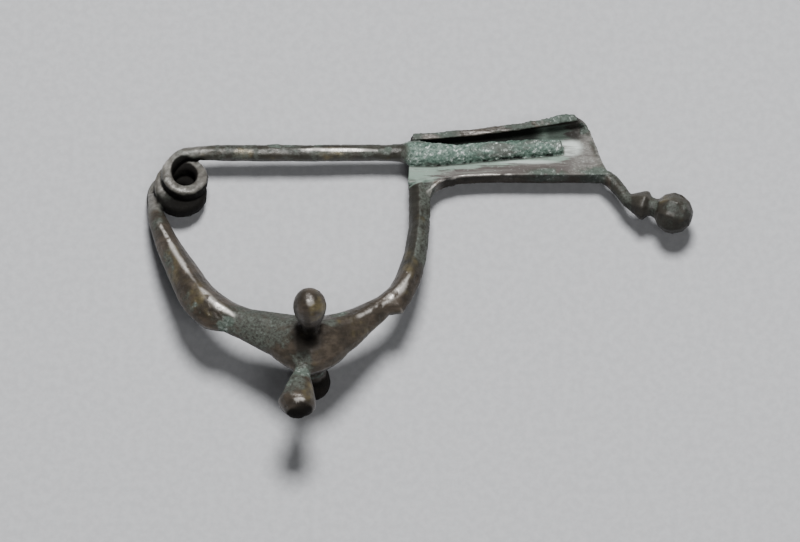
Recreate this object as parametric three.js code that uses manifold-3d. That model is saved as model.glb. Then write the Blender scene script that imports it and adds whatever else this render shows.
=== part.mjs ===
// A bronze fibula brooch: one piece of metal that runs from the point of the pin through a
// spring coil into a swelling bow with three bud knobs, down a leg into a long catch plate
// folded to a J, and out into a short stem with a bead and a faceted end knob.
//
// Lengths are millimetres. The brooch is drawn in its own plane: u runs along the pin towards
// the foot, v lies across the bow towards the pin, n is square to both. It is then laid on its
// side, +Z up, resting on the far side knob, the coil and the fold of the catch plate.

import * as THREE from 'three';
import { mergeVertices } from 'three/addons/utils/BufferGeometryUtils.js';
import Module from 'manifold-3d';

// ---- driving dimensions ---------------------------------------------------------------

const SIDES = 16;                 // facets around every bar
const STEPS_PER_TURN = 22;        // and along each turn of the coil
const TAU = 2 * Math.PI;

// Spring coil, wound round an axis square to the plane of the brooch.
const COIL_TURNS = 2.25;
const COIL_PITCH = 2.15;
const COIL_TOP = 1.75;            // height n of the turn that becomes the pin
const COIL_HALF_WIDTH = 2.6;      // along u, to the middle of the wire
const COIL_HALF_HEIGHT = 3.15;    // along v
const COIL_GROWTH = 0.3;          // each turn is this much wider along u than the one above
const COIL_FLATTEN = 0.13;        // the first quarter turn bends less than the rest
const COIL_CENTRE_V = 0.49;
const COIL_LEAN_U = -0.65;        // how far each lower turn is shifted
const COIL_LEAN_V = -1.35;
const COIL_TOUCH = 1.2;           // half thickness along n where the turns press together
const COIL_POWER = 3.2;           // squarish wire
const WIRE = 0.8;                 // half thickness of the wire where the coil begins
const WIRE_FILL = 0.4;            // the lower turns are thicker still towards the axis
const WIRE_GROWTH = 0.18;         // and how much thicker it gets with each turn
const WIRE_FLARE = 0.18;          // extra half thickness where it runs into the pin
const WIRE_THIN_START = 0.7;      // share of the touching thickness where the coil begins
const LENGTH_IN_COIL = 0.8;       // turns, short enough for a length not to meet itself

// The pin, from the coil to its blunt broken point: place, and half thickness.
const PIN = [
  { at: [2.6, 3.78, 1.74], half: 1.12 },
  { at: [7.0, 3.83, 1.68], half: 1.22 },
  { at: [20.0, 4.0, 1.45], half: 1.24 },
  { at: [31.5, 4.2, 1.22], half: 1.22 },
  { at: [33.4, 4.12, 1.2], half: 1.86 },
  { at: [36.5, 3.95, 1.14], half: 1.74 },
  { at: [40.3, 4.08, 1.06], half: 1.38 },
  { at: [43.0, 4.5, 1.0], half: 1.4 },
  { at: [48.5, 5.03, 0.92], half: 1.25 },
  { at: [52.2, 5.38, 0.86], half: 1.15 },
  { at: [55.5, 5.55, 0.8], half: 0.95 },
];

// The bow, from the coil to the catch plate. inner and outer are the half thickness towards
// and away from the pin, side is the half width square to the plane. The outer ridge juts out
// in a small corner where the right arm turns into the leg.
const BOW = [
  { at: [-4.35, -4.3, -1.35], inner: 1.05, outer: 1.1, side: 1.1 },
  { at: [-2.75, -10.2, -0.55], inner: 1.75, outer: 1.75, side: 1.75 },
  { at: [0.25, -17.1, -0.05], inner: 2.45, outer: 2.45, side: 2.4 },
  { at: [2.6, -21.5, 0], inner: 2.95, outer: 2.95, side: 2.7 },
  { at: [4.9, -23.7, 0], inner: 2.95, outer: 3.1, side: 2.85 },
  { at: [6.8, -24.8, 0], inner: 2.8, outer: 2.2, side: 2.45 },
  { at: [9.2, -25.8, 0], inner: 2.75, outer: 2.5, side: 2.4 },
  { at: [14.0, -27.5, 0], inner: 3.6, outer: 3.75, side: 3.4 },
  { at: [18.6, -29.1, 0], inner: 4.9, outer: 5.3, side: 4.7 },
  { at: [22.6, -27.4, 0], inner: 3.5, outer: 3.6, side: 3.3 },
  { at: [26.2, -24.9, 0], inner: 2.45, outer: 2.4, side: 2.3 },
  { at: [29.1, -22.5, 0], inner: 1.6, outer: 1.75, side: 2.0 },
  { at: [30.1, -21.6, 0], inner: 1.6, outer: 2.95, side: 2.15 },
  { at: [31.5, -20.1, 0], inner: 1.65, outer: 2.3, side: 2.2 },
  { at: [33.4, -15.6, 0], inner: 1.8, outer: 1.8, side: 1.9 },
  { at: [34.4, -9.0, 0], inner: 1.6, outer: 1.6, side: 1.7 },
  { at: [34.5, 0.4, 0], inner: 1.6, outer: 1.6, side: 1.1 },
];
const BOW_STEPS = 5;              // rings from one of these places to the next
const BOW_POWER = 1.45;           // section between a lozenge, 1, and an ellipse, 2
const BOW_CENTRE = new THREE.Vector3(18.8, -29.2, 0);
const TOP_KNOB_FROM = new THREE.Vector3(18.0, -29.2, 0);

// Bud knobs: two on the sides of the bow and one on its outer corner.
const SIDE_KNOB = { start: 3.4, neck: 1.25, neckAt: 5.6, half: 2.45, widestAt: 9.6, end: 12.95 };
const TOP_KNOB = { start: 3.6, neck: 1.3, neckAt: 5.7, half: 2.85, widestAt: 10.6, end: 12.9 };

// Catch plate: a sheet that leaves the leg, slopes back under the pin and folds up round it.
const PLATE_START = 32.9;         // u of its square-cut near end
const PLATE_END = 62.7;           // u of its far end at the spine
const PLATE_END_SLANT = 0.3;      // the far end leans back by this much for each mm of v
const LIP_CUT = 0.07;             // and the lip is cut back more towards its free edge
const SPINE_V = 0.35;
const SPINE_DIP = 1.7;            // the spine bends down by this much at the leg
const SPINE_DIP_LONG = 0.45;      // share of its length over which it does so
const SPINE_HALF = 1.1;           // half thickness along the spine
const SHEET_HALF = 0.5;           // half thickness of floor and lip
const FLOOR_SLOPE = 0.21;
const FOLD_RADIUS = 1.15;
const LIP_V_START = 6.7;          // where the free edge of the lip lies, at either end
const LIP_V_END = 10.3;
const LIP_CURVE = 1.35;           // it runs out faster towards the far end
const LIP_TOP = 2.0;
const LIP_EDGE_HALF = 0.5;
const WEB_RADIUS = 3.8;           // the spine curves into the leg with this radius
const WEB_THICK = 1.7;
const WEB_CENTRE = new THREE.Vector2(39.8, -4.0);

// Foot: stem, double-cone bead, neck and faceted knob on one axis.
const STEM = [
  { at: [60.6, 1.2, 0], half: 0.75 },
  { at: [62.5, 0.25, 0], half: 1.1 },
  { at: [64.1, -1.8, 0], half: 1.0 },
  { at: [65.3, -3.6, 0], half: 0.95 },
  { at: [67.4, -4.5, 0], half: 1.1 },
];
const FOOT_AXIS_FROM = new THREE.Vector3(64.8, -3.45, 0);
const FOOT_AXIS_TO = new THREE.Vector3(74.6, -6.75, 0);
const FOOT_FACETS = 8;

// How the brooch lies: turned about u and about v, then trimmed flat where it touches.
const REST_TILT = 16.15;          // degrees, bow side up
const REST_ROLL = 0.07;           // degrees, coil end down
const REST_FLAT = 0.2;            // depth of metal worn away at each contact

// ---- solids from sweeps ---------------------------------------------------------------

const wasm = await Module();
wasm.setup();

function toSolid(geometry) {
  const bare = geometry.clone();
  bare.deleteAttribute('normal');
  bare.deleteAttribute('uv');
  const merged = mergeVertices(bare, 1e-5);
  const mesh = new wasm.Mesh({
    numProp: 3,
    vertProperties: new Float32Array(merged.attributes.position.array),
    triVerts: new Uint32Array(merged.index.array),
  });
  return new wasm.Manifold(mesh);
}

function toGeometry(solid) {
  const mesh = solid.getMesh();
  const geometry = new THREE.BufferGeometry();
  geometry.setAttribute('position', new THREE.BufferAttribute(mesh.vertProperties, 3));
  geometry.setIndex(new THREE.BufferAttribute(mesh.triVerts, 1));
  geometry.computeVertexNormals();
  return geometry;
}

// Skins a row of equal rings of points, and closes both ends with a fan.
function loft(rings) {
  const count = rings[0].length;
  const points = rings.flat();
  const faces = [];
  for (let r = 0; r + 1 < rings.length; r += 1) {
    for (let k = 0; k < count; k += 1) {
      const a = r * count + k;
      const b = r * count + (k + 1) % count;
      faces.push(a, b, b + count, a, b + count, a + count);
    }
  }
  const last = (rings.length - 1) * count;
  const flat = (ring) => ring.map((p) => new THREE.Vector2(p.capX, p.capY));
  for (const [i, j, k] of THREE.ShapeUtils.triangulateShape(flat(rings[0]), [])) {
    faces.push(k, j, i);
    faces.push(last + i, last + j, last + k);
  }
  const geometry = new THREE.BufferGeometry();
  const numbers = points.flatMap((p) => [p.x, p.y, p.z]);
  geometry.setAttribute('position', new THREE.Float32BufferAttribute(numbers, 3));
  geometry.setIndex(faces);
  return geometry;
}

// One point of a rounded section: power 2 is an ellipse, power 1 a lozenge.
function sectionPoint(angle, power) {
  const c = Math.cos(angle);
  const s = Math.sin(angle);
  return [
    Math.sign(c) * Math.abs(c) ** (2 / power),
    Math.sign(s) * Math.abs(s) ** (2 / power),
  ];
}

// A ring of points round a bar. On the bow the section's first axis points at the pin.
function barRing(station) {
  const normal = new THREE.Vector3(0, 0, 1);
  const inward = new THREE.Vector3().crossVectors(normal, station.tangent).normalize();
  const across = new THREE.Vector3().crossVectors(station.tangent, inward).normalize();
  const ring = [];
  for (let k = 0; k < SIDES; k += 1) {
    const [c, s] = sectionPoint((k / SIDES) * TAU, station.power);
    const inPlane = c * (c > 0 ? station.inner : station.outer);
    const point = station.at.clone();
    point.addScaledVector(inward, inPlane);
    point.addScaledVector(across, s * station.side);
    point.capX = c;
    point.capY = s;
    ring.push(point);
  }
  return ring;
}

const { lerp, smoothstep } = THREE.MathUtils;

// Resamples a list of hand-set stations along a smooth curve through them.
function alongStations(stations, steps, power) {
  const curve = new THREE.CatmullRomCurve3(
    stations.map((s) => new THREE.Vector3(...s.at)), false, 'centripetal');
  const samples = [];
  const spans = stations.length - 1;
  for (let i = 0; i <= steps; i += 1) {
    const t = i / steps;
    const k = Math.min(Math.floor(t * spans), spans - 1);
    const f = t * spans - k;
    const [a, b] = [stations[k], stations[k + 1]];
    const size = (name) => lerp(a[name] ?? a.half, b[name] ?? b.half, f);
    samples.push({
      at: curve.getPoint(t), tangent: curve.getTangent(t), power: power(t, k + f),
      inner: size('inner'), outer: size('outer'), side: size('side'),
    });
  }
  return samples;
}

// ---- the long bar: pin, coil and bow --------------------------------------------------

function coilPoint(turn) {
  const angle = TAU / 4 + turn * TAU;
  const lower = Math.max(turn - 0.25, 0);
  const lean = smoothstep(turn, 0.4, 1.5);
  const flat = turn > 0 && turn < 0.25 ? 1 - COIL_FLATTEN * Math.sin(turn * 2 * TAU) : 1;
  return new THREE.Vector3(
    COIL_LEAN_U * lower + (COIL_HALF_WIDTH + COIL_GROWTH * turn) * flat * Math.cos(angle),
    COIL_CENTRE_V + COIL_LEAN_V * lean + COIL_HALF_HEIGHT * flat * Math.sin(angle),
    COIL_TOP - COIL_PITCH * turn,
  );
}

function coilStations(stepsPerTurn) {
  const steps = Math.round(COIL_TURNS * stepsPerTurn);
  const stations = [];
  for (let i = 0; i <= steps; i += 1) {
    const turn = (COIL_TURNS * i) / steps;
    const next = coilPoint(turn + 1e-3);
    const flare = WIRE_FLARE * Math.max(0, 1 - turn * 4);
    const half = WIRE + WIRE_GROWTH * Math.min(turn, 1.8) + flare;
    const side = Math.max(half, COIL_TOUCH * Math.min(1, WIRE_THIN_START + turn));
    const leaving = 1 - smoothstep(turn, 1.95, COIL_TURNS);
    const fill = WIRE_FILL * smoothstep(turn, 0.6, 1.2) * leaving;
    const power = lerp(2, COIL_POWER, smoothstep(turn, 0, 0.3) * leaving);
    stations.push({
      at: coilPoint(turn), tangent: next.sub(coilPoint(turn - 1e-3)).normalize(),
      inner: half + fill, outer: half, side, power,
    });
  }
  return stations;
}

// The bar touches itself in the coil, so it is made in lengths that share their end rings.
function longBar() {
  const coil = coilStations(STEPS_PER_TURN);
  const pin = alongStations([...PIN].reverse(), 32, () => 2);
  const exit = coil[coil.length - 1];
  const exitStation = { at: exit.at.toArray(), inner: exit.inner, outer: exit.outer, side: exit.side };
  const bow = alongStations(
    [exitStation, ...BOW], BOW.length * BOW_STEPS, (t, k) => lerp(2, BOW_POWER, Math.min(k / 2, 1)));
  const rings = [...pin, ...coil, ...bow.slice(1)].map(barRing);
  const length = Math.round(STEPS_PER_TURN * LENGTH_IN_COIL);
  const cuts = [0, pin.length + length, pin.length + 2 * length, rings.length - 1];
  return [0, 1, 2].map((i) => toSolid(loft(rings.slice(cuts[i], cuts[i + 1] + 1))));
}

// ---- knobs ----------------------------------------------------------------------------

// Turns a profile of [radius, height] round an axis from a point in a direction.
function turned(profile, segments, from, direction) {
  const points = profile.map(([radius, height]) => new THREE.Vector2(radius, height));
  const geometry = new THREE.LatheGeometry(points, segments);
  const turn = new THREE.Quaternion().setFromUnitVectors(
    new THREE.Vector3(0, 1, 0), direction.clone().normalize());
  geometry.applyQuaternion(turn);
  geometry.translate(from.x, from.y, from.z);
  return toSolid(geometry);
}

// A side knob is an egg on a short neck.
function eggProfile({ start, neck, neckAt, half, widestAt, end }) {
  const profile = [[0, start], [neck, start], [neck, neckAt]];
  const rise = widestAt - neckAt;
  for (let i = 1; i <= 5; i += 1) {
    const f = i / 5;
    profile.push([lerp(neck, half, Math.sin((f * TAU) / 4) ** 0.9), neckAt + rise * f]);
  }
  for (let i = 1; i <= 6; i += 1) {
    const angle = ((i / 6) * TAU) / 4;
    profile.push([i < 6 ? half * Math.cos(angle) : 0, widestAt + (end - widestAt) * Math.sin(angle)]);
  }
  return profile;
}

// The top knob flares like a bud to a sharp rim and ends in a low cone.
function budProfile({ start, neck, neckAt, half, widestAt, end }) {
  const profile = [[0, start], [neck, start], [neck, neckAt]];
  for (let i = 1; i <= 5; i += 1) {
    const f = i / 5;
    profile.push([neck + (half - neck) * f ** 0.85, lerp(neckAt, widestAt, f)]);
  }
  profile.push([half * 0.93, widestAt + 0.5]);
  profile.push([half * 0.42, end - 0.35]);
  profile.push([0, end]);
  return profile;
}

function knobs() {
  const side = new THREE.Vector3(-0.025, 0, 1);
  const top = new THREE.Vector3(-0.12, -1, 0);
  return [
    turned(eggProfile(SIDE_KNOB), 16, BOW_CENTRE, side),
    turned(eggProfile(SIDE_KNOB), 16, BOW_CENTRE, side.clone().negate()),
    turned(budProfile(TOP_KNOB), 16, TOP_KNOB_FROM, top),
  ];
}

// ---- catch plate ----------------------------------------------------------------------

// The middle line of the plate's section, from spine to free edge.
function plateLine(spineV, lipV) {
  const foldV = lipV - 0.2;
  const floorN = (v) => SPINE_HALF - SHEET_HALF - FLOOR_SLOPE * (v - SPINE_V);
  const line = [];
  const floorSteps = 6;
  const floorEnd = foldV - FOLD_RADIUS * 0.6;
  for (let i = 0; i <= floorSteps; i += 1) {
    const f = i / floorSteps;
    const v = lerp(spineV, floorEnd, f);
    const half = lerp(SPINE_HALF, SHEET_HALF, Math.min(1, f * 2.4));
    line.push({ v, n: floorN(v) + SHEET_HALF - half, half });
  }
  const bottom = floorN(floorEnd);
  for (let i = 1; i <= 5; i += 1) {
    const angle = ((i / 5) * TAU) / 4;
    line.push({
      v: floorEnd + FOLD_RADIUS * Math.sin(angle),
      n: bottom + FOLD_RADIUS * (1 - Math.cos(angle)),
      half: SHEET_HALF,
    });
  }
  line.push({ v: lipV, n: lerp(bottom + FOLD_RADIUS, LIP_TOP, 0.5), half: SHEET_HALF });
  line.push({ v: lipV - 0.1, n: LIP_TOP, half: LIP_EDGE_HALF });
  return line;
}

// Gives the middle line its thickness, as one closed outline in v and n.
function plateOutline(spineV, lipV) {
  const line = plateLine(spineV, lipV);
  const upper = [];
  const lower = [];
  line.forEach((point, i) => {
    const before = line[Math.max(i - 1, 0)];
    const after = line[Math.min(i + 1, line.length - 1)];
    const along = new THREE.Vector2(after.v - before.v, after.n - before.n).normalize();
    upper.push(new THREE.Vector2(point.v - along.y * point.half, point.n + along.x * point.half));
    lower.push(new THREE.Vector2(point.v + along.y * point.half, point.n - along.x * point.half));
  });
  return [...lower, ...upper.reverse()];
}

function catchPlate() {
  const steps = 14;
  const rings = [];
  for (let i = 0; i <= steps; i += 1) {
    const f = i / steps;
    const spineV = SPINE_V - SPINE_DIP * Math.max(0, 1 - f / SPINE_DIP_LONG) ** 2;
    const outline = plateOutline(spineV, lerp(LIP_V_START, LIP_V_END, f ** LIP_CURVE));
    rings.push(outline.map(({ x: v, y: n }) => {
      const cut = LIP_CUT * Math.max(0, n + 1) * Math.max(0, v);
      const end = PLATE_END - PLATE_END_SLANT * v - cut;
      const point = new THREE.Vector3(lerp(PLATE_START + cut / 2, end, f), v, n);
      point.capX = v;
      point.capY = n;
      return point;
    }));
  }
  return toSolid(loft(rings));
}

// The concave web where the spine curves down into the leg: a band that follows an arc.
function spineWeb() {
  const rings = [];
  const steps = 8;
  for (let i = 0; i <= steps; i += 1) {
    const f = i / steps;
    const angle = Math.PI * lerp(0.5, 1.06, f);
    const depth = lerp(SPINE_HALF, 0.4, Math.max(0, f * 1.5 - 0.5));
    const far = WEB_RADIUS + WEB_THICK;
    const corners = [[WEB_RADIUS, -depth], [WEB_RADIUS, depth], [far, depth], [far, -depth]];
    rings.push(corners.map(([radius, n]) => {
      const u = WEB_CENTRE.x + radius * Math.cos(angle);
      const v = WEB_CENTRE.y + radius * Math.sin(angle);
      const point = new THREE.Vector3(u, v, n);
      point.capX = n;
      point.capY = radius;
      return point;
    }));
  }
  return toSolid(loft(rings));
}

// ---- foot -----------------------------------------------------------------------------

function foot() {
  const stem = toSolid(loft(alongStations(STEM, 14, () => 2).map(barRing)));
  const direction = FOOT_AXIS_TO.clone().sub(FOOT_AXIS_FROM);
  const profile = [
    [0, 0], [0.9, 0], [1.1, 0.5], [2.3, 2.8], [2.35, 3.15], [1.5, 3.75], [1.42, 4.4],
    [1.55, 4.9], [2.45, 5.6], [3.12, 6.9], [3.06, 8.1], [2.3, 9.4], [1.15, 10.15], [0, 10.3],
  ];
  return [stem, turned(profile, FOOT_FACETS, FOOT_AXIS_FROM, direction)];
}

// ---- the whole brooch, laid down ------------------------------------------------------

function layDown(geometry) {
  geometry.rotateX(-THREE.MathUtils.degToRad(REST_TILT));
  geometry.rotateY(-THREE.MathUtils.degToRad(REST_ROLL));
  geometry.computeBoundingBox();
  const { min, max } = geometry.boundingBox;
  geometry.translate(-(min.x + max.x) / 2, -(min.y + max.y) / 2, -min.z - REST_FLAT);
  const room = new THREE.BoxGeometry(200, 200, 100);
  room.translate(0, 0, 50);
  return toGeometry(toSolid(geometry).intersect(toSolid(room)));
}

const pieces = [...longBar(), ...knobs(), catchPlate(), spineWeb(), ...foot()];
const whole = pieces.reduce((sum, piece) => sum.add(piece));

const bronze = new THREE.MeshStandardMaterial({ color: 0x5a5648, roughness: 0.55, metalness: 0.7 });
const fibula = new THREE.Mesh(layDown(toGeometry(whole)), bronze);
fibula.name = 'fibula';

const group = new THREE.Group();
group.add(fibula);

export default group;
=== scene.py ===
"""Looks of a corroded bronze fibula brooch, lying on its side on a pale ground."""

import math

import bpy
import numpy as np
from mathutils import Matrix, Vector


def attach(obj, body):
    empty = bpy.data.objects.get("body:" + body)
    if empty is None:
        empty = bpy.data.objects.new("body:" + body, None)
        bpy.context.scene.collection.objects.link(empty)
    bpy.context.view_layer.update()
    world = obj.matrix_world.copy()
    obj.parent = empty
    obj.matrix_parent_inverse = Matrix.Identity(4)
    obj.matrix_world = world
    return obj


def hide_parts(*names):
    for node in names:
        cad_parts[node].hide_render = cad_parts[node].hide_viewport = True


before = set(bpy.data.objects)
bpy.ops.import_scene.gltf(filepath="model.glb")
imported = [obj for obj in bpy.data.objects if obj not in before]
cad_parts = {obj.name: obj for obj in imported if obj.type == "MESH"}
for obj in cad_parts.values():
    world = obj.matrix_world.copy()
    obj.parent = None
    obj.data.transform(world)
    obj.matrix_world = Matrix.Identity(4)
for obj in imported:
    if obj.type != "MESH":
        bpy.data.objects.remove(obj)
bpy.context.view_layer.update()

MM = 0.001                # metres in a millimetre

# The brooch's own axes, in mm: u along the pin, v across the bow towards the pin, n square to
# both, towards the side that shows. A place on the brooch is written (u, v, n).
U, V, N = 0, 1, 2

# How the brooch lies in the row frame.
REST_TILT = math.radians(16.15)
REST_ROLL = math.radians(0.07)
REST_SHIFT = Vector((-34.5450, 14.7659, 4.1901))

# The fine skin that is laid over the CAD solid.
VOXEL = 0.15              # mm, its grid before thinning
FAIR_ROUNDS = 18          # smoothing of the whole skin
FAIR_INWARD = 0.5
FAIR_OUTWARD = 0.52
RIM_ROUNDS = 12           # further smoothing of rims that are worn round
MOST_TRIANGLES = 196000

# Heights of the surface detail, mm.
UNEVEN = 0.045
FINE_UNEVEN = 0.022
PIT_DEPTH = 0.07
CRUST_LUMP = 0.12
CRUST_SWELL = 0.10
CRUST_SUNK = 0.03
BLOOM_LUMP = 0.05
BLOOM_SUNK = 0.01
PIN_STROKE = 0.045
FLOOR_STROKE = 0.03
COIL_SCRATCH = 0.035
LIP_SWELL = 0.06
LIP_KNOT = 0.3
GRAIN = 0.42              # width of a grain of crust


# ---- frames ----------------------------------------------------------------------------

def lay_down():
    """Matrix from brooch axes in mm to the row frame in mm."""
    turn = Matrix.Rotation(-REST_ROLL, 4, "Y") @ Matrix.Rotation(-REST_TILT, 4, "X")
    return Matrix.Translation(REST_SHIFT) @ turn


LAY_DOWN = lay_down()


def to_brooch(points):
    """Row-frame mm to brooch axes, for an array of points."""
    inverse = np.array(LAY_DOWN.inverted())
    return points @ inverse[:3, :3].T + inverse[:3, 3]


def turned_to_brooch(directions):
    """Row-frame directions to brooch axes."""
    return directions @ np.array(LAY_DOWN.inverted())[:3, :3].T


# ---- noise -----------------------------------------------------------------------------

class Lattice:
    """Smooth random values on a repeating grid, the same on every run."""

    SIZE = 48

    def __init__(self, seed):
        self.table = np.random.default_rng(seed).random((self.SIZE,) * 3)

    def __call__(self, points, scale):
        q = points / scale
        base = np.floor(q).astype(np.int64)
        f = q - base
        f = f * f * (3 - 2 * f)
        total = np.zeros(len(points))
        for corner in np.ndindex(2, 2, 2):
            i, j, k = ((base[:, a] + corner[a]) % self.SIZE for a in range(3))
            weight = np.ones(len(points))
            for a in range(3):
                weight *= f[:, a] if corner[a] else 1 - f[:, a]
            total += weight * self.table[i, j, k]
        return total


def layered(points, scale, seed, layers):
    """Several sizes of noise added up, centred on 0, mostly within -1 to 1."""
    total = np.zeros(len(points))
    amount = 1.0
    for layer in range(layers):
        noise = Lattice(seed + layer)
        total += amount * (noise(points, scale / 2 ** layer) * 2 - 1)
        amount *= 0.55
    return total


def grains(points, size, seed):
    """1 at the middle of each grain of a scatter, falling to 0 between the grains."""
    rng = np.random.default_rng(seed)
    side = 32
    scatter = rng.random((side, side, side, 3))
    q = points / size
    base = np.floor(q).astype(np.int64)
    nearest = np.full(len(points), 9.0)
    for step in np.ndindex(3, 3, 3):
        cell = base + np.array(step) - 1
        i, j, k = (cell[:, a] % side for a in range(3))
        gap = cell + scatter[i, j, k] - q
        nearest = np.minimum(nearest, (gap ** 2).sum(1))
    return np.clip(1 - np.sqrt(nearest), 0, 1)


def crust_grains(p):
    """The grains that the relief raises and the crust's colour follows."""
    return grains(p, GRAIN, seed=51)


def stretched(p, along_u):
    """Places squeezed along u, so that noise read there runs in strokes along the pin."""
    return p * np.array([along_u, 1.0, 1.0])


def slanted(p, across, along):
    """Places skewed in the u, v plane, so that noise read there runs in slanting strokes."""
    return p @ np.array([[across, along, 0], [-across, along, 0], [0, 0, 0.5]])


def ramp(values, low, high):
    """0 below low, 1 above high, smooth between."""
    t = np.clip((values - low) / (high - low), 0, 1)
    return t * t * (3 - 2 * t)


def strongest(*fields):
    """The largest of several fields at each point."""
    return np.maximum.reduce(fields)


# ---- meshes as arrays --------------------------------------------------------------------

def copied(node):
    """A fresh object, in mm, with the shape of a CAD node."""
    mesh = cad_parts[node].data.copy()
    mesh.transform(Matrix.Scale(1 / MM, 4))
    piece = bpy.data.objects.new("skin", mesh)
    bpy.context.scene.collection.objects.link(piece)
    return piece


def applied(piece):
    """The piece's mesh with its modifiers worked in."""
    bpy.context.view_layer.update()
    graph = bpy.context.evaluated_depsgraph_get()
    mesh = bpy.data.meshes.new_from_object(piece.evaluated_get(graph))
    piece.modifiers.clear()
    piece.data = mesh
    return mesh


def remeshed(piece):
    """The piece's mesh made anew from even small squares."""
    modifier = piece.modifiers.new("grid", "REMESH")
    modifier.mode = "VOXEL"
    modifier.voxel_size = VOXEL
    modifier.adaptivity = 0
    return applied(piece)


def thinned(piece):
    """The piece's mesh with its triangles brought under the limit."""
    modifier = piece.modifiers.new("thin", "DECIMATE")
    modifier.ratio = min(1.0, MOST_TRIANGLES / (2 * len(piece.data.polygons)))
    return applied(piece)


def vectors_of(mesh, kind):
    """A vector for each point of a mesh: its place, "co", or its "normal"."""
    out = np.empty(len(mesh.vertices) * 3, np.float32)
    mesh.vertices.foreach_get(kind, out)
    return out.reshape(-1, 3).astype(float)


def edges_of(mesh):
    pairs = np.empty(len(mesh.edges) * 2, np.int32)
    mesh.edges.foreach_get("vertices", pairs)
    return pairs.reshape(-1, 2)


def write_points(mesh, points):
    mesh.vertices.foreach_set("co", points.astype(np.float32).ravel())
    mesh.update()


class Net:
    """Averages values over the neighbours of every point of a mesh."""

    def __init__(self, mesh):
        pairs = edges_of(mesh)
        self.a = np.concatenate([pairs[:, 0], pairs[:, 1]])
        self.b = np.concatenate([pairs[:, 1], pairs[:, 0]])
        self.count = len(mesh.vertices)
        self.degree = np.bincount(self.a, minlength=self.count).astype(float)

    def mean(self, values):
        if values.ndim == 1:
            return np.bincount(self.a, values[self.b], self.count) / self.degree
        columns = [self.mean(values[:, k]) for k in range(values.shape[1])]
        return np.stack(columns, 1)

    def smooth(self, values, rounds):
        for _ in range(rounds):
            values = values + 0.5 * (self.mean(values) - values)
        return values


def fair(points, net):
    """Takes facets off without shrinking: each inward step is followed by an outward one."""
    for _ in range(FAIR_ROUNDS):
        points = points + FAIR_INWARD * (net.mean(points) - points)
        points = points - FAIR_OUTWARD * (net.mean(points) - points)
    return points


# ---- places on the brooch ----------------------------------------------------------------

def polyline_distance(points, stations):
    """Distance to a line through stations, and how far along it, from 0 at its start."""
    stations = np.array(stations, float)
    best = np.full(len(points), 1e9)
    along = np.zeros(len(points))
    run = 0.0
    for a, b in zip(stations[:-1], stations[1:]):
        d = b - a
        length = np.linalg.norm(d)
        t = np.clip(((points - a) @ d) / length ** 2, 0, 1)
        gap = np.linalg.norm(points - (a + t[:, None] * d), axis=1)
        closer = gap < best
        best = np.where(closer, gap, best)
        along = np.where(closer, run + t * length, along)
        run += length
    return best, along


def blob(p, centre, radii):
    """1 in the middle of an egg-shaped spot, fading to 0 round its edge."""
    gap = np.linalg.norm((p - np.array(centre)) / np.array(radii), axis=1)
    return 1 - ramp(gap, 0.55, 1.25)


def spotted(p, spots):
    """The strongest of several spots, each one an amount, a middle and three radii."""
    return strongest(*(amount * blob(p, centre, radii) for amount, centre, radii in spots))


PIN_LINE = [
    (2.6, 3.78, 1.74), (31.5, 4.2, 1.22), (33.4, 4.12, 1.2), (36.5, 3.95, 1.14),
    (40.3, 4.08, 1.06), (43.0, 4.5, 1.0), (48.5, 5.03, 0.92), (55.5, 5.55, 0.8),
]
# The crusted end of the pin: u, the v of its middle, its half thickness.
PIN_END = [
    (31.0, 4.2, 1.22), (33.4, 4.12, 1.86), (36.5, 3.95, 1.74), (40.3, 4.08, 1.38),
    (43.0, 4.5, 1.4), (48.5, 5.03, 1.25), (52.2, 5.38, 1.15), (55.6, 5.55, 0.95),
]
LEG_LINE = [(31.3, -20.4, 0), (33.4, -15.6, 0), (34.4, -9.0, 0), (34.5, -2.0, 0)]
BOW_LINE = [
    (-4.35, -4.3, -1.35), (-2.75, -10.2, -0.55), (0.25, -17.1, 0), (4.9, -23.7, 0),
    (9.2, -25.8, 0), (18.6, -29.1, 0), (26.2, -24.9, 0), (31.3, -20.4, 0),
]
# The crest on the near side of each arm of the bow, where a painted highlight runs.
LEFT_CREST = [
    (-3.9, -7.6, 0.6), (-2.8, -10.2, 1.2), (-1.4, -13.7, 1.8), (0.6, -17.8, 2.4),
    (2.4, -20.8, 2.6), (4.7, -23.9, 2.7), (7.5, -25.7, 2.2), (8.8, -26.1, 2.2),
]
RIGHT_CREST = [
    (33.4, -17.4, 1.7), (32.7, -19.0, 1.9), (32.0, -20.6, 1.9), (31.1, -21.6, 1.9),
    (29.7, -22.9, 1.7), (27.6, -24.5, 2.0), (25.5, -26.0, 2.4), (23.8, -26.9, 3.0),
]
# The near edge of the spine, with a painted highlight, from the leg to the middle of the plate.
SPINE_EDGE = [
    (35.2, -3.6, 0.8), (35.7, -2.5, 0.85), (36.65, -1.45, 0.95), (37.7, -0.85, 1.0),
    (39.2, -0.3, 1.0), (40.8, 0.08, 1.02), (44.3, 0.31, 1.05), (52.0, 0.38, 1.08),
]
# The catch plate's spine is its fold towards the bow. It dips where it meets the leg.
PLATE_FROM = 32.9
PLATE_LONG = 29.8
SPINE_V = 0.35
SPINE_DIP = 1.7
SPINE_DIP_SHARE = 0.45    # of the plate's length

# The coil's eye leans towards -u and -v with depth.
EYE_TOP_N = 1.75
EYE_DEPTH = 4.3
EYE_V = 0.49
EYE_LEAN_U = 0.9
EYE_LEAN_V = 1.2
EYE_HALF_U = 2.6
EYE_HALF_V = 3.15


def spine_v(u):
    """Where the plate's spine lies across the bow."""
    share = (u - PLATE_FROM) / PLATE_LONG
    return SPINE_V - SPINE_DIP * np.maximum(0, 1 - share / SPINE_DIP_SHARE) ** 2


def pin_end(u):
    """The v of the pin's middle and its half thickness, for an array of places along it."""
    along, middle, half = np.array(PIN_END).T
    return np.interp(u, along, middle), np.interp(u, along, half)


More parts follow.
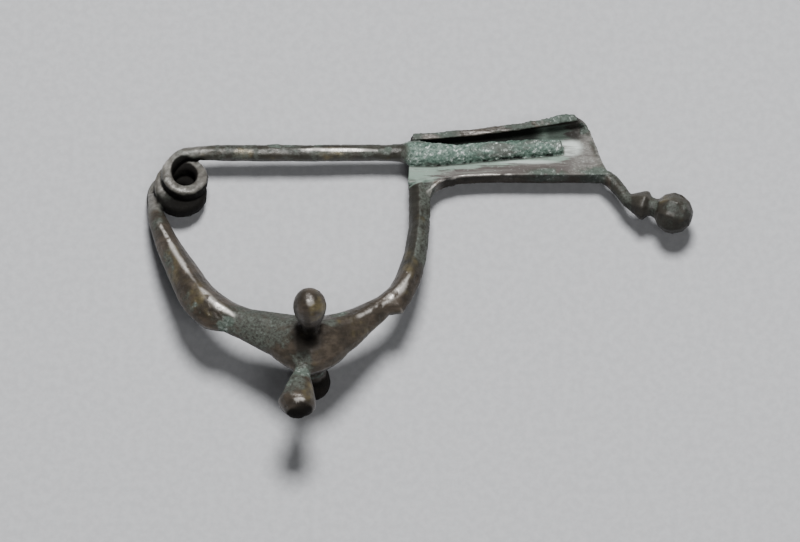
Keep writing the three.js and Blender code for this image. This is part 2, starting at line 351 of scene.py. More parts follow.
def pin_regions(p):
    """The whole pin, and its bare length and the crusted length that is caught."""
    u = p[:, U]
    gap, _ = polyline_distance(p, PIN_LINE)
    _, half = pin_end(u)
    along = ramp(u, 2.0, 4.0) * (1 - ramp(u, 55.7, 56.0))
    on_pin = along * (1 - ramp(gap, half + 0.15, half + 0.35))
    caught = ramp(u + 0.5 * layered(p, 1.2, seed=5, layers=2), 31.9, 33.1)
    return {"on_pin": on_pin, "pin": on_pin * (1 - caught), "caught": on_pin * caught}


def coil_regions(p, facing, on_pin):
    """The coil, and the painted shade on it: in its eye, on its walls turned from the light and on
    the lower turn.
    """
    u, v, n = p.T
    coil = (1 - ramp(u, 3.5, 5.0)) * ramp(v, -5.8, -4.8) * (1 - on_pin)
    lean = np.clip(-(n - EYE_TOP_N) / EYE_DEPTH, 0, 1)
    round_u = (u + EYE_LEAN_U * lean) / EYE_HALF_U
    round_v = (v - EYE_V + EYE_LEAN_V * lean) / EYE_HALF_V
    reach = np.hypot(round_u, round_v)
    # Painted shade: the eye, the walls turned from the light and the lower turn are darkened.
    inside = coil * (1 - ramp(reach, 0.72, 0.84))
    deep = coil * (1 - ramp(reach, 0.85, 1.0)) * (1 - ramp(n, 0.3, 0.9))
    wall = coil * ramp(0.45 - facing[:, N], 0.0, 0.35) * ramp(-facing[:, V], 0.1, 0.4)
    lower = coil * ramp(-n, -0.3, 0.1)
    bow_start = ramp(-u, 3.2, 4.0) * ramp(-v, 3.2, 4.4)
    bow_start = np.maximum(bow_start, ramp(-u, 3.9, 4.5) * ramp(facing[:, N], 0.25, 0.55))
    dark = np.clip(inside + deep + wall + lower, 0, 1) * (1 - bow_start)
    return {"coil": coil, "coil_shade": dark}


def plate_regions(p, facing, on_pin):
    """The catch plate's inside, outside, lip and far end, and the places on it that get painted
    shade.
    """
    u, v, n = p.T
    plate = ramp(u, 32.3, 32.7) * ramp(v - spine_v(u), -0.35, -0.1) * (1 - ramp(u, 61.9, 62.6))
    plate = plate * (1 - on_pin)
    pin_v, half = pin_end(u)
    inside = strongest(
        ramp(facing[:, N], 0.1, 0.45),
        ramp(v, 4.5, 5.5) * ramp(-facing[:, V], 0.1, 0.5),
        ramp(n, 0.72, 0.86) * (1 - ramp(v, 1.0, 2.0)),
    )
    lip = plate * ramp(n, 1.45, 1.8) * ramp(v, 5.4, 6.0) * ramp(facing[:, N], -0.1, 0.3)
    past_pin = ramp(v - pin_v - 0.35 * half, 0.0, 0.4)
    under = 1 - ramp(np.abs(v - pin_v + half + 0.05), 0.2, 0.5)
    # Painted shade goes on the trough behind the pin, the corner by the lip, the strip under the pin
    # and the spine's front face.
    trough = plate * past_pin * (1 - lip) * (1 - ramp(u, 51.0, 56.0)) * ramp(n, -5, -4)
    corner = plate * ramp(v, 7.0, 8.2) * (1 - lip)
    corner = corner * ramp(u, 51.0, 54.0) * (1 - ramp(u, 57.5, 60.0))
    front = ramp(u, 36.5, 38.5) * (1 - ramp(u, 62.0, 63.0)) * (1 - ramp(v, 0.3, 0.6))
    front = front * ramp(v, -2.5, -1.5) * ramp(-facing[:, V], 0.3, 0.6)
    return {
        "inside": plate * inside,
        "outside": plate * (1 - inside) * ramp(v, 1.5, 2.5) * (1 - lip),
        "lip": lip,
        "end": plate * (1 - ramp(62.7 - 0.3 * v - u, 0.5, 1.6)),
        "trough": trough,
        "corner": corner,
        "under_pin": plate * inside * under * (1 - ramp(u, 54.5, 56.0)),
        "front": front,
    }


def regions(p, facing):
    """Where each kind of surface is, 0 to 1 at every point."""
    u, v, n = p.T
    where = pin_regions(p)
    on_pin = where.pop("on_pin")
    where.update(coil_regions(p, facing, on_pin))
    where.update(plate_regions(p, facing, on_pin))
    leg_gap, _ = polyline_distance(p, LEG_LINE)
    bow_gap, bow_run = polyline_distance(p, BOW_LINE)
    where["leg"] = (1 - ramp(leg_gap, 2.3, 2.8)) * ramp(v, -18.5, -15.0)
    where["bow"] = (1 - ramp(bow_gap, 5.5, 6.5)) * ramp(bow_run, 2.0, 5.0)
    where["foot"] = ramp(u, 62.3, 62.9)
    where["knob"] = np.clip((1 - ramp(v, -36.0, -35.2)) + ramp(np.abs(n), 6.5, 7.2), 0, 1)
    where["far_knob"] = ramp(-n, 6.5, 7.5)
    return where


# ---- what lies on the metal --------------------------------------------------------------

CRUST_SPOTS = [
    # left corner of the bow, and right of the near side knob
    (0.56, (2.6, -23.8, 0.8), (2.0, 1.3, 2.0)),
    (0.55, (6.2, -26.4, 1.0), (1.5, 1.0, 2.2)),
    (0.60, (22.4, -25.2, 2.8), (2.0, 1.2, 2.0)),
    # neck of the bud, and roots of the two side knobs
    (0.80, (17.4, -35.0, 1.1), (1.9, 1.4, 1.9)),
    (0.50, (16.0, -36.6, 1.6), (1.3, 2.0, 1.6)),
    (0.60, (21.2, -29.0, 5.2), (1.0, 2.4, 1.4)),
    (0.55, (19.2, -30.2, -6.0), (2.4, 2.4, 1.0)),
    # far corner of the plate
    (0.64, (58.9, 9.5, 0.2), (1.6, 1.0, 1.4)),
    # along the pin
    (0.66, (29.3, 3.9, 2.3), (1.3, 0.9, 0.8)),
    (0.64, (14.0, 4.6, 2.3), (3.4, 0.9, 1.0)),
    (0.56, (8.6, 5.0, 2.0), (2.6, 0.8, 1.0)),
    (0.50, (20.0, 4.9, 2.0), (2.6, 0.7, 0.9)),
]
BLOOM_SPOTS = [
    # left half of the bow's middle, and the bud
    (0.88, (11.5, -27.0, 2.2), (8.0, 4.4, 4.0)),
    (0.72, (16.4, -37.6, 1.6), (2.0, 3.0, 2.6)),
    (0.70, (17.6, -33.8, 2.0), (2.2, 2.2, 2.4)),
    # coil and pin
    (0.60, (0.0, 3.6, 2.2), (3.4, 2.4, 1.6)),
    (0.68, (13.0, 4.4, 2.4), (7.0, 1.6, 1.6)),
    (0.58, (28.4, 4.5, 2.0), (4.6, 1.6, 1.6)),
    # left arm
    (0.52, (-2.0, -15.5, 0.4), (1.3, 5.0, 1.4)),
    (0.50, (1.2, -21.6, 0.8), (1.6, 3.0, 1.4)),
    (0.60, (-3.6, -5.0, 0.0), (2.2, 5.0, 2.0)),
    # foot
    (0.70, (68.9, -5.0, 0.8), (1.0, 1.8, 2.0)),
    (0.50, (72.4, -6.4, 1.0), (3.6, 3.6, 3.6)),
    (0.90, (71.6, -6.6, 2.7), (1.3, 1.3, 0.8)),
    # far corner of the plate
    (0.70, (58.6, 9.6, 0.2), (1.8, 1.2, 1.6)),
]
BRASS_SPOTS = [
    # near side knob and bud
    (0.75, (19.6, -30.5, 11.0), (1.8, 1.8, 2.4)),
    (0.45, (18.4, -38.4, 1.8), (1.6, 2.4, 1.6)),
    # pin
    (0.62, (8.6, 3.4, 2.4), (2.2, 1.0, 1.2)),
    (0.50, (21.0, 3.6, 1.8), (3.4, 1.0, 1.2)),
    # left arm
    (0.48, (-1.4, -16.0, 1.0), (1.6, 4.5, 2.0)),
    (0.42, (2.4, -21.8, 1.4), (2.0, 3.0, 1.8)),
    (0.45, (4.8, -24.6, 1.6), (2.4, 1.6, 2.0)),
    # right arm
    (0.36, (24.0, -26.8, 2.0), (4.6, 2.4, 2.2)),
    (0.50, (33.2, -15.8, 1.6), (1.4, 3.2, 1.4)),
    # foot
    (0.30, (71.0, -4.6, 2.6), (2.0, 2.0, 1.6)),
]
BRASS_EVERYWHERE = 0.1


def thick_crust(p, where):
    """How much coarse green crust lies on each point."""
    patchy = layered(p, 2.6, seed=11, layers=4)
    broken = layered(p, 0.9, seed=17, layers=3)
    loose = spotted(p, CRUST_SPOTS)
    loose = loose + (0.32 * patchy + 0.45 * broken) * ramp(loose, 0.05, 0.3)
    bare_lip = blob(p, (43.0, 7.2, 2.2), (3.2, 1.6, 1.2)) + blob(p, (36.1, 6.5, 2.2), (1.6, 0.7, 0.8))
    on_lip = where["lip"] * ramp(patchy + 0.9 * broken, -0.9, 0.1) * (1 - np.clip(bare_lip, 0, 1))
    behind = 0.8 * where["outside"] * ramp(patchy + 0.5 * broken, -0.3, 0.6)
    front = blob(p, (53.4, 0.6, 0.6), (3.6, 1.3, 1.6)) + blob(p, (60.4, 0.9, 0.3), (3.2, 1.6, 1.6))
    front = np.clip(front, 0, 1) * ramp(0.6 * patchy + broken, -1.0, -0.1)
    return strongest(ramp(loose, 0.4, 0.8), where["caught"], on_lip, behind, front)


def thin_bloom(p, where, facing):
    """A thin granular grey-green film over bare metal."""
    u = p[:, U]
    patchy = layered(p, 2.2, seed=111, layers=3)
    broken = layered(p, 0.7, seed=117, layers=2)
    bloom = strongest(
        0.8 * where["leg"] * ramp(facing[:, U], -0.35, 0.1),
        0.7 * where["foot"] * (1 - ramp(u, 65.2, 66.5)),
        0.42 * where["coil"] * (1 - where["coil_shade"]),
        0.8 * where["end"],
        0.46 * where["pin"],
        spotted(p, BLOOM_SPOTS),
    )
    bloom = bloom * (1 - ramp(u, 18.6, 20.4) * where["bow"])
    bloom = np.maximum(bloom, 0.75 * blob(p, (21.4, -27.8, 3.5), (1.8, 0.9, 1.2)))
    return ramp(bloom + 0.22 * patchy + 0.3 * broken, 0.28, 0.85)


def yellow_metal(p):
    """Where bare yellow metal shows."""
    brass = np.maximum(BRASS_EVERYWHERE, spotted(p, BRASS_SPOTS))
    return ramp(brass + 0.34 * layered(p, 1.3, seed=81, layers=3), 0.25, 0.9)


# ---- the skin ----------------------------------------------------------------------------

def relief(p, where, crust, bloom):
    """Height of the surface detail above the smooth skin, mm."""
    height = UNEVEN * layered(p, 2.6, seed=21, layers=2)
    height += FINE_UNEVEN * layered(p, 0.8, seed=31, layers=2)
    pits = ramp(layered(p, 1.0, seed=41, layers=2), 0.55, 0.95)
    height -= PIT_DEPTH * pits * (1 - crust) * (1 - 0.6 * where["inside"])
    lumps = crust_grains(p)
    swell = layered(p, 1.3, seed=61, layers=2)
    height += crust * (CRUST_LUMP * lumps + CRUST_SWELL * swell - CRUST_SUNK)
    height += bloom * (BLOOM_LUMP * lumps - BLOOM_SUNK)
    strokes = layered(stretched(p, 0.22), 0.5, seed=71, layers=2)
    height += strokes * (PIN_STROKE * where["pin"] + FLOOR_STROKE * where["inside"])
    height += COIL_SCRATCH * layered(slanted(p, 0.7, 0.4), 0.6, seed=91, layers=2) * where["coil"]
    height += LIP_SWELL * layered(p, 1.5, seed=95, layers=2) * (where["lip"] + where["caught"])
    height += LIP_KNOT * blob(p, (55.4, 10.2, 2.2), (1.6, 1.0, 0.9))
    return height


def rounded_rims(p):
    """Where the turned rims are worn round: the foot's bead and the bud's flare."""
    u, v, _ = p.T
    bead = ramp(u, 64.2, 65.2) * (1 - ramp(u, 68.6, 69.3))
    bud = 1 - ramp(v, -38.6, -37.4)
    return np.clip(bead + bud, 0, 1)


def smooth_skin(mesh):
    """Fairs a remeshed skin and rounds its worn rims."""
    net = Net(mesh)
    points = fair(vectors_of(mesh, "co"), net)
    rounded = rounded_rims(to_brooch(points))[:, None]
    points = points + rounded * (net.smooth(points, RIM_ROUNDS) - points)
    write_points(mesh, points)
    return points


def roughen(mesh, points):
    """Moves a smooth skin out and in along its normals, except where it lies on the ground."""
    normals = vectors_of(mesh, "normal")
    p = to_brooch(points)
    facing = turned_to_brooch(normals)
    where = regions(p, facing)
    height = relief(p, where, thick_crust(p, where), thin_bloom(p, where, facing))
    off_ground = ramp(points[:, 2], 0.1, 0.5)
    points = points + normals * (height * off_ground)[:, None]
    points[:, 2] = np.maximum(points[:, 2], 0.0)
    write_points(mesh, points)


def build_skin():
    """A fine skin over the CAD solid, faired, then roughened with the surface detail."""
    piece = copied("fibula")
    mesh = remeshed(piece)
    roughen(mesh, smooth_skin(mesh))
    thinned(piece)
    return piece


# ---- maps for the material, one value for each point ---------------------------------------

def soft_line(gap, half_wide):
    """1 along a line, fading on both sides of it."""
    return np.exp(-(gap / half_wide) ** 2)


def crest_highlight(p):
    """Painted highlights along the crests of both arms, as bright lines of metal."""
    wander = 0.12 * layered(p, 2.4, seed=131, layers=2)
    gap, run = polyline_distance(p, LEFT_CREST)
    wide = 0.16 + 0.15 * ramp(run, 4.0, 7.0) - 0.12 * ramp(run, 9.5, 11.5)
    wide = wide + 0.22 * ramp(run, 14.0, 16.5) - 0.2 * ramp(run, 19.5, 21.5)
    gone = 0.75 * ramp(run, 11.0, 12.0) * (1 - ramp(run, 14.0, 15.0))
    left = soft_line(gap + wander, wide) * (1 - gone)
    left = left * ramp(run, 0.0, 1.5) * (1 - ramp(run, 21.5, 22.6))
    gap, run = polyline_distance(p, RIGHT_CREST)
    wide = 0.2 + 0.18 * ramp(run, 1.5, 3.5) - 0.2 * ramp(run, 5.0, 7.0)
    fades = ramp(run, 0.0, 1.5) * (1 - 0.4 * ramp(run, 7.0, 9.0)) * (1 - ramp(run, 11.5, 12.6))
    right = soft_line(gap + wander, wide) * fades
    return np.maximum(left, right) * ramp(layered(p, 0.9, seed=137, layers=3), -0.9, -0.35)


def spine_highlight(p):
    """A painted highlight along the near edge of the spine."""
    gap, run = polyline_distance(p, SPINE_EDGE)
    highlight = 1 - ramp(gap, 0.1, 0.2 + 0.12 * ramp(run, 4.0, 7.0))
    highlight *= ramp(run, 0.5, 3.0) * (1 - ramp(run, 13.0, 17.5))
    return highlight * ramp(layered(p, 0.9, seed=157, layers=3), -0.9, -0.1)


def coil_face_light(p, where, facing):
    """Painted light on the top face of the coil, in streaks that follow its scratches."""
    face = where["coil"] * (1 - where["coil_shade"]) * ramp(facing[:, N], 0.3, 0.7)
    streaks = layered(slanted(p, 0.75, 0.35), 0.35, seed=161, layers=2)
    return face * (0.5 + 0.5 * ramp(streaks, -0.3, 0.5))


def wear_and_painted_highlights(p, where, facing, dip):
    """Bare bright metal on crests, rims and the places that a hand rubs, and painted highlights on
    the arm crests, the spine's edge, the pin, the coil's top face, the bud's rim and the side knob.
    """
    plain = (1 - where["knob"]) * (1 - where["coil"]) * (1 - 0.8 * where["foot"])
    # A painted highlight along the top of the pin.
    pin_highlight = blob(p, (22.6, 3.8, 2.6), (6.0, 0.28, 0.5))
    pin_highlight *= ramp(layered(p, 1.5, seed=151, layers=2), -0.8, 0.1)
    return strongest(
        0.22 * ramp(-dip, 0.06, 0.14) * plain,
        crest_highlight(p),
        0.8 * spine_highlight(p),
        0.75 * pin_highlight,
        0.2 * coil_face_light(p, where, facing),
        0.4 * blob(p, (-2.9, 2.4, 1.9), (0.7, 2.4, 1.2)),           # painted highlight on the pin's bend into the coil
        0.7 * blob(p, (17.1, -40.5, 2.35), (1.0, 0.24, 0.4)),       # painted highlight on the rim of the bud
        0.35 * blob(p, (18.7, -30.4, 12.4), (0.6, 0.6, 0.6)),       # painted highlight on top of the side knob
        0.5 * blob(p, (43.3, 7.4, 2.0), (2.2, 0.13, 0.4)),          # edge of the lip
        0.125 * blob(p, (36.1, 6.6, 2.0), (0.9, 0.45, 0.4)),
    )


def shade_and_darkening_map(p, where, facing, normals, dip):
    """Painted shade where little light comes, and darker tone in concave places and on the lip."""
    u, v, _ = p.T
    return strongest(
        # darker in concave places
        ramp(dip, 0.02, 0.12) * (1 - 0.5 * where["inside"]),
        # painted shade in the coil's eye, on its walls and on its lower turn
        where["coil_shade"],
        # painted shade in the plate's trough and corner, under the pin and on the spine's front face
        where["trough"],
        0.85 * where["corner"],
        0.85 * where["under_pin"],
        0.65 * where["front"],
        # darker tone on the lip's crust
        0.22 * where["lip"],
        # painted shade over the far side knob, which lies in the bow's shadow
        0.9 * where["far_knob"],
        (1 - ramp(v, -41.0, -40.4)) * ramp(-facing[:, V], 0.5, 0.8),      # painted shade on the end of the bud
        0.9 * blob(p, (18.6, -31.6, 5.0), (2.6, 1.8, 2.6)),               # painted shadow at the root of the side knob
        0.7 * blob(p, (17.6, -31.2, 3.4), (1.5, 3.6, 2.2)),               # painted shadow down the crease below it
        0.75 * ramp(-normals[:, 2], -0.35, 0.4),                          # painted shade on all undersides
        # painted shade on the leg's side turned from the light
        0.25 * where["leg"] * (1 - ramp(facing[:, U], -0.35, 0.1)),
        # darker on the bow's sides facing +u near the leg
        0.35 * where["bow"] * ramp(u, 30.0, 32.0) * ramp(facing[:, U], 0.45, 0.75),
        # painted shade on the foot's sides turned towards -v
        0.6 * where["foot"] * ramp(-facing[:, V], -0.1, 0.7),
    )


def plate_film(p, where, crust):
    """The smooth film inside the catch plate; it is broken up at the plate's far end."""
    film = where["inside"] * (1 - ramp(p[:, N], 1.25, 1.6)) * (1 - crust) * (1 - spine_highlight(p))
    return film * (1 - 0.85 * where["end"] * ramp(layered(p, 0.9, seed=163, layers=3), -0.6, 0.2))


def near_pin(p):
    """1 on the part of the plate's inside along the pin and beside the leg."""
    u, v, _ = p.T
    middle, half = pin_end(u)
    near = 1 - ramp(middle - half - v + 0.2 * layered(p, 2.0, seed=141, layers=2), 0.8, 1.8)
    return np.maximum(near * (1 - ramp(u, 55, 57.5)), 1 - ramp(u, 33.6, 39.5))


def chalky_patch(p):
    """The chalky patch past the pin's tip, and a fainter one before it."""
    patch = blob(p, (56.8, 6.0, -0.2), (1.8, 2.0, 1.5))
    return np.maximum(patch, 0.6 * blob(p, (50.5, 3.0, 0.2), (4.5, 0.5, 1.0)))


def dull_crust(p, where):
    """Where the crust is dull: everywhere but on the pin's end and the knot on the lip."""
    knot = blob(p, (55.4, 10.0, 2.2), (2.0, 1.2, 1.2))
    return np.clip(1 - where["caught"] - 0.3 * knot, 0, 1)


def grey_metal(p, where):
    """Where the patina is grey, not brown."""
    grey = 0.9 * where["leg"] + 0.6 * where["foot"] + 0.8 * where["coil"] + 0.75 * where["pin"]
    return np.clip(grey + 0.2 * layered(p, 3.0, seed=85, layers=3), 0, 1)


def paint_maps(mesh):
    """Writes the maps that the material reads."""
    points = vectors_of(mesh, "co")
    normals = vectors_of(mesh, "normal")
    net = Net(mesh)
    p = to_brooch(points)
    facing = turned_to_brooch(net.smooth(normals, 4))
    where = regions(p, facing)
    # How far each point lies below its surroundings, in mm; less than 0 on a crest.
    dip = net.smooth(((net.smooth(points, 20) - points) * normals).sum(1), 3)
    crust = thick_crust(p, where)
    film = plate_film(p, where, crust)
    maps = {
        "crust": crust,
        "grain": crust_grains(p),
        "dull": dull_crust(p, where),
        "bloom": thin_bloom(p, where, facing) * (1 - crust),
        "brass": yellow_metal(p) * (1 - crust),
        "wear_and_highlight": wear_and_painted_highlights(p, where, facing, dip) * (1 - crust),
        "grey": grey_metal(p, where),
        "shade_and_darkening": shade_and_darkening_map(p, where, facing, normals, dip),
        "film": film,
        "mint": near_pin(p) * film,
        "chalk_and_glint": chalky_patch(p) * film,
        "far_end": ramp(p[:, U], 55.5, 58.5),
    }
    for name, values in maps.items():
        attribute = mesh.attributes.new(name, "FLOAT", "POINT")
        attribute.data.foreach_set("value", values.astype(np.float32))


# ---- materials ---------------------------------------------------------------------------

# Where a Mix node keeps its colour sockets; other kinds of value share their names.
MIX_AMOUNT, MIX_A, MIX_B, MIX_RESULT = 0, 6, 7, 2


class Nodes:
    """Short calls for building a material's node tree."""

    def __init__(self, name):
        self.material = bpy.data.materials.new(name)
        self.material.use_nodes = True
        self.tree = self.material.node_tree
        self.tree.nodes.clear()

    def add(self, kind, **settings):
        node = self.tree.nodes.new(kind)
        for key, value in settings.items():
            setattr(node, key, value)
        return node

    def join(self, source, target):
        self.tree.links.new(source, target)

    def surface(self):
        """The material's one shader, joined to its output."""
        shader = self.add("ShaderNodeBsdfPrincipled")
        out = self.add("ShaderNodeOutputMaterial")
        self.join(shader.outputs["BSDF"], out.inputs["Surface"])
        return shader

    def field(self, name):
        """A map that the mesh carries."""
        return self.add("ShaderNodeAttribute", attribute_name=name).outputs["Fac"]

    def noise(self, scale, detail, rough, stretch=None):
        """Noise about 0.5, with scale cells to a metre, drawn out along x by a stretch below 1."""
        node = self.add("ShaderNodeTexNoise")
        node.inputs["Scale"].default_value = scale
        node.inputs["Detail"].default_value = detail
        node.inputs["Roughness"].default_value = rough
        place = self.add("ShaderNodeTexCoord").outputs["Object"]
        if stretch:
            mapping = self.add("ShaderNodeMapping")
            mapping.inputs["Scale"].default_value = (stretch, 1.0, 1.0)
            self.join(place, mapping.inputs["Vector"])
            place = mapping.outputs["Vector"]
        self.join(place, node.inputs["Vector"])
        return node.outputs["Fac"]

    def ramp(self, source, low, high, out_low=0.0, out_high=1.0):
        """out_low where source is below low, out_high above high, smooth between."""
        node = self.add("ShaderNodeMapRange", interpolation_type="SMOOTHSTEP")
        self.join(source, node.inputs["Value"])
        for key, value in zip(("From Min", "From Max", "To Min", "To Max"),
                              (low, high, out_low, out_high)):
            node.inputs[key].default_value = value
        return node.outputs["Result"]

    def feed(self, value, socket):
        """Sets a socket to a number or a colour, or joins another socket to it."""
        if isinstance(value, tuple):
            socket.default_value = (*value, 1.0)
        elif isinstance(value, (int, float)):
            socket.default_value = value
        else:
            self.join(value, socket)

    def math(self, kind, a, b):
        node = self.add("ShaderNodeMath", operation=kind)
        self.feed(a, node.inputs[0])
        self.feed(b, node.inputs[1])
        return node.outputs[0]

    def times(self, a, b):
        return self.math("MULTIPLY", a, b)

    def plus(self, a, b):
        return self.math("ADD", a, b)

    def most(self, a, b):
        return self.math("MAXIMUM", a, b)

    def mix(self, amount, a, b):
        """Colour a where amount is 0, b where it is 1."""
        node = self.add("ShaderNodeMix", data_type="RGBA")
        self.feed(amount, node.inputs[MIX_AMOUNT])
        self.feed(a, node.inputs[MIX_A])
        self.feed(b, node.inputs[MIX_B])
        return node.outputs[MIX_RESULT]


# Near black for painted shade, and for darker tone in concave places.
SHADE_AND_DARK_TONE = (0.006, 0.0055, 0.005)
DARK = (0.018, 0.016, 0.012)
BROWN = (0.084, 0.066, 0.050)
GREY = (0.058, 0.057, 0.047)
BRASS = (0.20, 0.165, 0.085)
# Bright colour for worn metal and for painted highlights.
WORN_AND_HIGHLIT = (0.84, 0.80, 0.74)
BLOOM = (0.068, 0.076, 0.063)
MINT = (0.110, 0.175, 0.140)
PALE_GREEN = (0.22, 0.29, 0.25)
DEEP_GREEN = (0.028, 0.062, 0.045)
CHALK_AND_GLINT = (0.66, 0.72, 0.68)
FLOOR_MINT = (0.25, 0.335, 0.28)
FLOOR_BEIGE = (0.098, 0.085, 0.079)
FLOOR_GREY = (0.25, 0.245, 0.225)
GROUND_DARK = (0.50, 0.505, 0.52)
GROUND_PALE = (0.56, 0.565, 0.58)
BUMP_HEIGHT = 0.1 * MM


def metal_colour(m):
    """Dark patina, brass showing through it, and a granular grey-green bloom over both."""
    fine = m.noise(1900, 4, 0.7)
    medium = m.noise(1000, 4, 0.55)
    broad = m.noise(320, 3, 0.5)
    stroke = m.noise(1300, 4, 0.6, stretch=0.18)
    speck = m.noise(2700, 4, 0.7)
    metal = m.mix(m.field("grey"), BROWN, GREY)
    metal = m.mix(m.ramp(broad, 0.35, 0.65, 0.5, 0.0), metal, DARK)
    metal = m.mix(m.ramp(stroke, 0.38, 0.60, 0.45, 0.0), metal, DARK)
    brass = m.times(m.field("brass"), m.ramp(medium, 0.30, 0.6, 0.25, 0.8))
    metal = m.mix(brass, metal, BRASS)
    film = m.mix(m.ramp(speck, 0.38, 0.52, 0.85, 0.0), BLOOM, DARK)
    film = m.mix(m.ramp(speck, 0.57, 0.68, 0.0, 0.32), film, PALE_GREEN)
    bloom = m.times(m.field("bloom"), m.ramp(medium, 0.3, 0.5, 0.6, 0.95))
    metal = m.mix(bloom, metal, film)
    # Worn metal and painted highlights share one bright colour.
    worn_and_highlit = m.times(m.field("wear_and_highlight"), m.ramp(fine, 0.32, 0.46, 0.45, 1.0))
    return m.mix(worn_and_highlit, metal, WORN_AND_HIGHLIT), worn_and_highlit, brass


def crust_colour(m):
    """Green crust: dark between the grains, with painted glints as white specks, duller away from the
    pin.
    """
    fine = m.noise(1900, 4, 0.75)
    coarse = m.noise(420, 3, 0.55)
    stain = m.noise(520, 3, 0.5, stretch=0.35)
    green = m.mix(m.ramp(coarse, 0.36, 0.64, 0, 0.7), MINT, PALE_GREEN)
    green = m.mix(m.ramp(m.field("grain"), 0.15, 0.55, 0.6, 0.0), green, DEEP_GREEN)
    green = m.mix(m.ramp(fine, 0.38, 0.50, 0.7, 0.0), green, DEEP_GREEN)
    green = m.mix(m.ramp(stain, 0.52, 0.68, 0.0, 0.6), green, FLOOR_BEIGE)
    green = m.mix(m.times(m.field("dull"), 0.72), green, BLOOM)
    # Painted glints: white specks on the crust where its grains would catch the light.
    glint_tips = m.times(m.ramp(fine, 0.57, 0.62, 0.0, 0.95), m.ramp(coarse, 0.40, 0.56, 0.35, 1.0))
    chalk_and_glint = m.times(glint_tips, m.ramp(m.field("dull"), 0, 1, 1.0, 0.35))
    return m.mix(chalk_and_glint, green, CHALK_AND_GLINT)


def floor_colour(m):
    """Inside the plate: streaks of mint near the pin, of pinkish beige near the spine."""
    streak = m.noise(1700, 5, 0.65, stretch=0.10)
    fleck = m.noise(2300, 4, 0.7)
    mixed = m.plus(m.field("mint"), m.ramp(streak, 0.3, 0.7, -0.45, 0.45))
    colour = m.mix(m.ramp(mixed, 0.3, 0.7), FLOOR_BEIGE, FLOOR_MINT)
    flecked_end = m.times(m.field("far_end"), m.ramp(fleck, 0.4, 0.6, 0.45, 0.85))
    lighter = m.most(m.ramp(streak, 0.48, 0.66, 0.0, 0.4), flecked_end)
    colour = m.mix(lighter, colour, FLOOR_GREY)
    colour = m.mix(m.ramp(streak, 0.36, 0.46, 0.5, 0.0), colour, FLOOR_BEIGE)
    chalk_and_glint = m.times(m.field("chalk_and_glint"), m.ramp(streak, 0.36, 0.5, 0.4, 1.0))
    colour = m.mix(chalk_and_glint, colour, CHALK_AND_GLINT)
    return m.mix(m.ramp(fleck, 0.58, 0.66, 0.0, 0.2), colour, CHALK_AND_GLINT)


def bronze_material():
    """One material for the whole brooch; the mesh's maps say what shows where."""
    m = Nodes("bronze_patina")
    shader = m.surface()
    crust = m.field("crust")
    film = m.field("film")
    shade_and_darkening = m.field("shade_and_darkening")
    fine = m.noise(3000, 4, 0.7)
    metal, worn_and_highlit, brass = metal_colour(m)
    ragged = m.times(crust, m.ramp(fine, 0.34, 0.46, 0.7, 1.0))
    colour = m.mix(ragged, metal, crust_colour(m))
    colour = m.mix(film, colour, floor_colour(m))
    # Painted shade and darker tone, mixed towards near black.
    colour = m.mix(m.times(shade_and_darkening, 0.96), colour, SHADE_AND_DARK_TONE)
    m.join(colour, shader.inputs["Base Color"])

    dull = m.most(m.most(crust, film), m.most(shade_and_darkening, m.times(m.field("bloom"), 0.6)))
    bare = m.ramp(dull, 0.1, 0.7, 1.0, 0.0)
    shine = m.plus(0.2, m.times(m.most(worn_and_highlit, brass), 0.35))
    m.join(m.times(bare, shine), shader.inputs["Metallic"])
    rough = m.plus(m.ramp(dull, 0.1, 0.8, 0.36, 0.75), m.ramp(fine, 0.3, 0.7, -0.08, 0.08))
    m.join(rough, shader.inputs["Roughness"])
    m.join(m.ramp(shade_and_darkening, 0.2, 0.9, 0.5, 0.08), shader.inputs["Specular IOR Level"])

    bump = m.add("ShaderNodeBump")
    bump.inputs["Strength"].default_value = 0.6
    bump.inputs["Distance"].default_value = BUMP_HEIGHT
    m.join(fine, bump.inputs["Height"])
    m.join(bump.outputs["Normal"], shader.inputs["Normal"])
    return m.material


def ground_material():
    """Pale matt board with a faint mottle."""
    m = Nodes("pale_ground")
    shader = m.surface()
    shader.inputs["Roughness"].default_value = 0.9
    mottle = m.ramp(m.noise(900, 3, 0.6), 0.3, 0.7)
    m.join(m.mix(mottle, GROUND_DARK, GROUND_PALE), shader.inputs["Base Color"])
    return m.material


# ---- the brooch --------------------------------------------------------------------------

def build_brooch():
    """The whole brooch as one piece, in metres."""
    piece = build_skin()
    mesh = piece.data
    paint_maps(mesh)
    mesh.transform(Matrix.Scale(MM, 4))
    mesh.materials.clear()
    mesh.materials.append(bronze_material())
    for polygon in mesh.polygons:
        polygon.use_smooth = True
    piece.name = "brooch"
    mesh.name = "brooch"
    return piece


brooch = build_brooch()
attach(brooch, "root")
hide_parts("fibula")


# ---- ground, lights and camera -----------------------------------------------------------

GROUND_HALF = 1.2                     # m

VIEW_TILT = math.radians(35)          # from square to the bow's plane, towards its apex
AIM_AT = Vector((31.67, -16.2, 0))    # on the brooch, mm
SEEN_WIDTH = 117.13 * MM              # how much the picture's width takes in
LENS = 500.0                          # mm, a long lens from far away
SENSOR = 36.0                         # mm

LAMP_DISTANCE = 0.7                   # m
KEY_ELEVATION = math.radians(74)

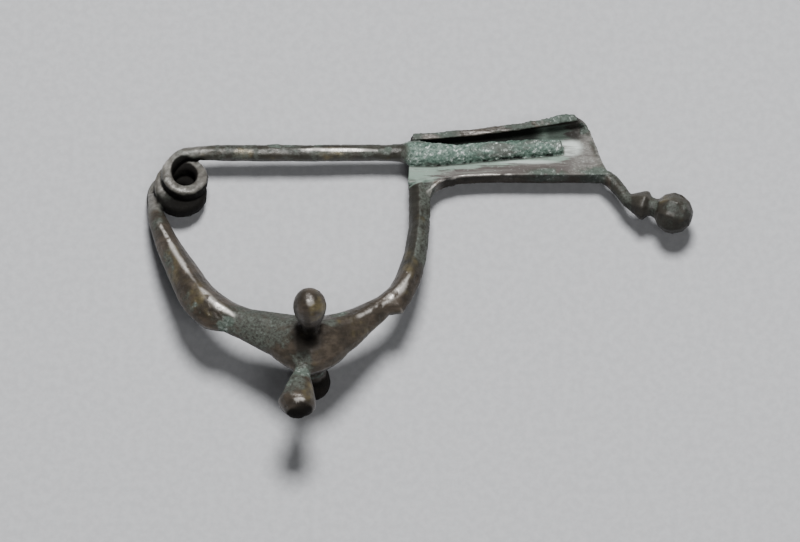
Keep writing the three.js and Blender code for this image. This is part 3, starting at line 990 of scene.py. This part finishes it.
TURN = LAY_DOWN.to_3x3()
TO_CAMERA = TURN @ Vector((0, -math.sin(VIEW_TILT), math.cos(VIEW_TILT)))
CAMERA_UP = TURN @ Vector((0, math.cos(VIEW_TILT), math.sin(VIEW_TILT)))
AIM_POINT = (LAY_DOWN @ AIM_AT) * MM


def linked(name, data):
    """A new object in the scene."""
    obj = bpy.data.objects.new(name, data)
    bpy.context.scene.collection.objects.link(obj)
    return obj


def ground():
    mesh = bpy.data.meshes.new("ground")
    half = GROUND_HALF
    corners = [(-half, -half, 0), (half, -half, 0), (half, half, 0), (-half, half, 0)]
    mesh.from_pydata(corners, [], [(0, 1, 2, 3)])
    mesh.materials.append(ground_material())
    linked("ground", mesh)


def aim(obj, place, up):
    """Puts obj at place, looking at the aim point, with up upwards in its picture."""
    back = (place - AIM_POINT).normalized()
    right = up.cross(back).normalized()
    rise = back.cross(right)
    turn = Matrix((right, rise, back)).transposed().to_4x4()
    obj.matrix_world = Matrix.Translation(place) @ turn


def lamp(name, direction, size, power):
    """A round soft lamp in a direction from the aim point."""
    data = bpy.data.lights.new(name, "AREA")
    data.shape = "DISK"
    data.size = size
    data.energy = power
    place = AIM_POINT + direction.normalized() * LAMP_DISTANCE
    aim(linked(name, data), place, up=Vector((0, 1, 0.01)))


def lights():
    """A key lamp almost overhead, a weak one by the camera for glints, and a faint sky."""
    key = Vector((0.02, math.cos(KEY_ELEVATION), math.sin(KEY_ELEVATION)))
    glint = TO_CAMERA - 0.14 * CAMERA_UP + Vector((0.17, 0, 0))
    lamp("key", key, size=0.2, power=7.0)
    lamp("glint", glint, size=0.3, power=0.9)
    world = bpy.data.worlds.new("studio")
    world.use_nodes = True
    background = world.node_tree.nodes["Background"]
    background.inputs["Color"].default_value = (0.9, 0.93, 1.0, 1.0)
    background.inputs["Strength"].default_value = 0.05
    bpy.context.scene.world = world


def camera():
    data = bpy.data.cameras.new("camera")
    data.lens = LENS
    data.sensor_width = SENSOR
    data.clip_start = 0.01
    obj = linked("camera", data)
    aim(obj, AIM_POINT + TO_CAMERA * (SEEN_WIDTH * LENS / SENSOR), up=CAMERA_UP)
    bpy.context.scene.camera = obj


ground()
lights()
camera()
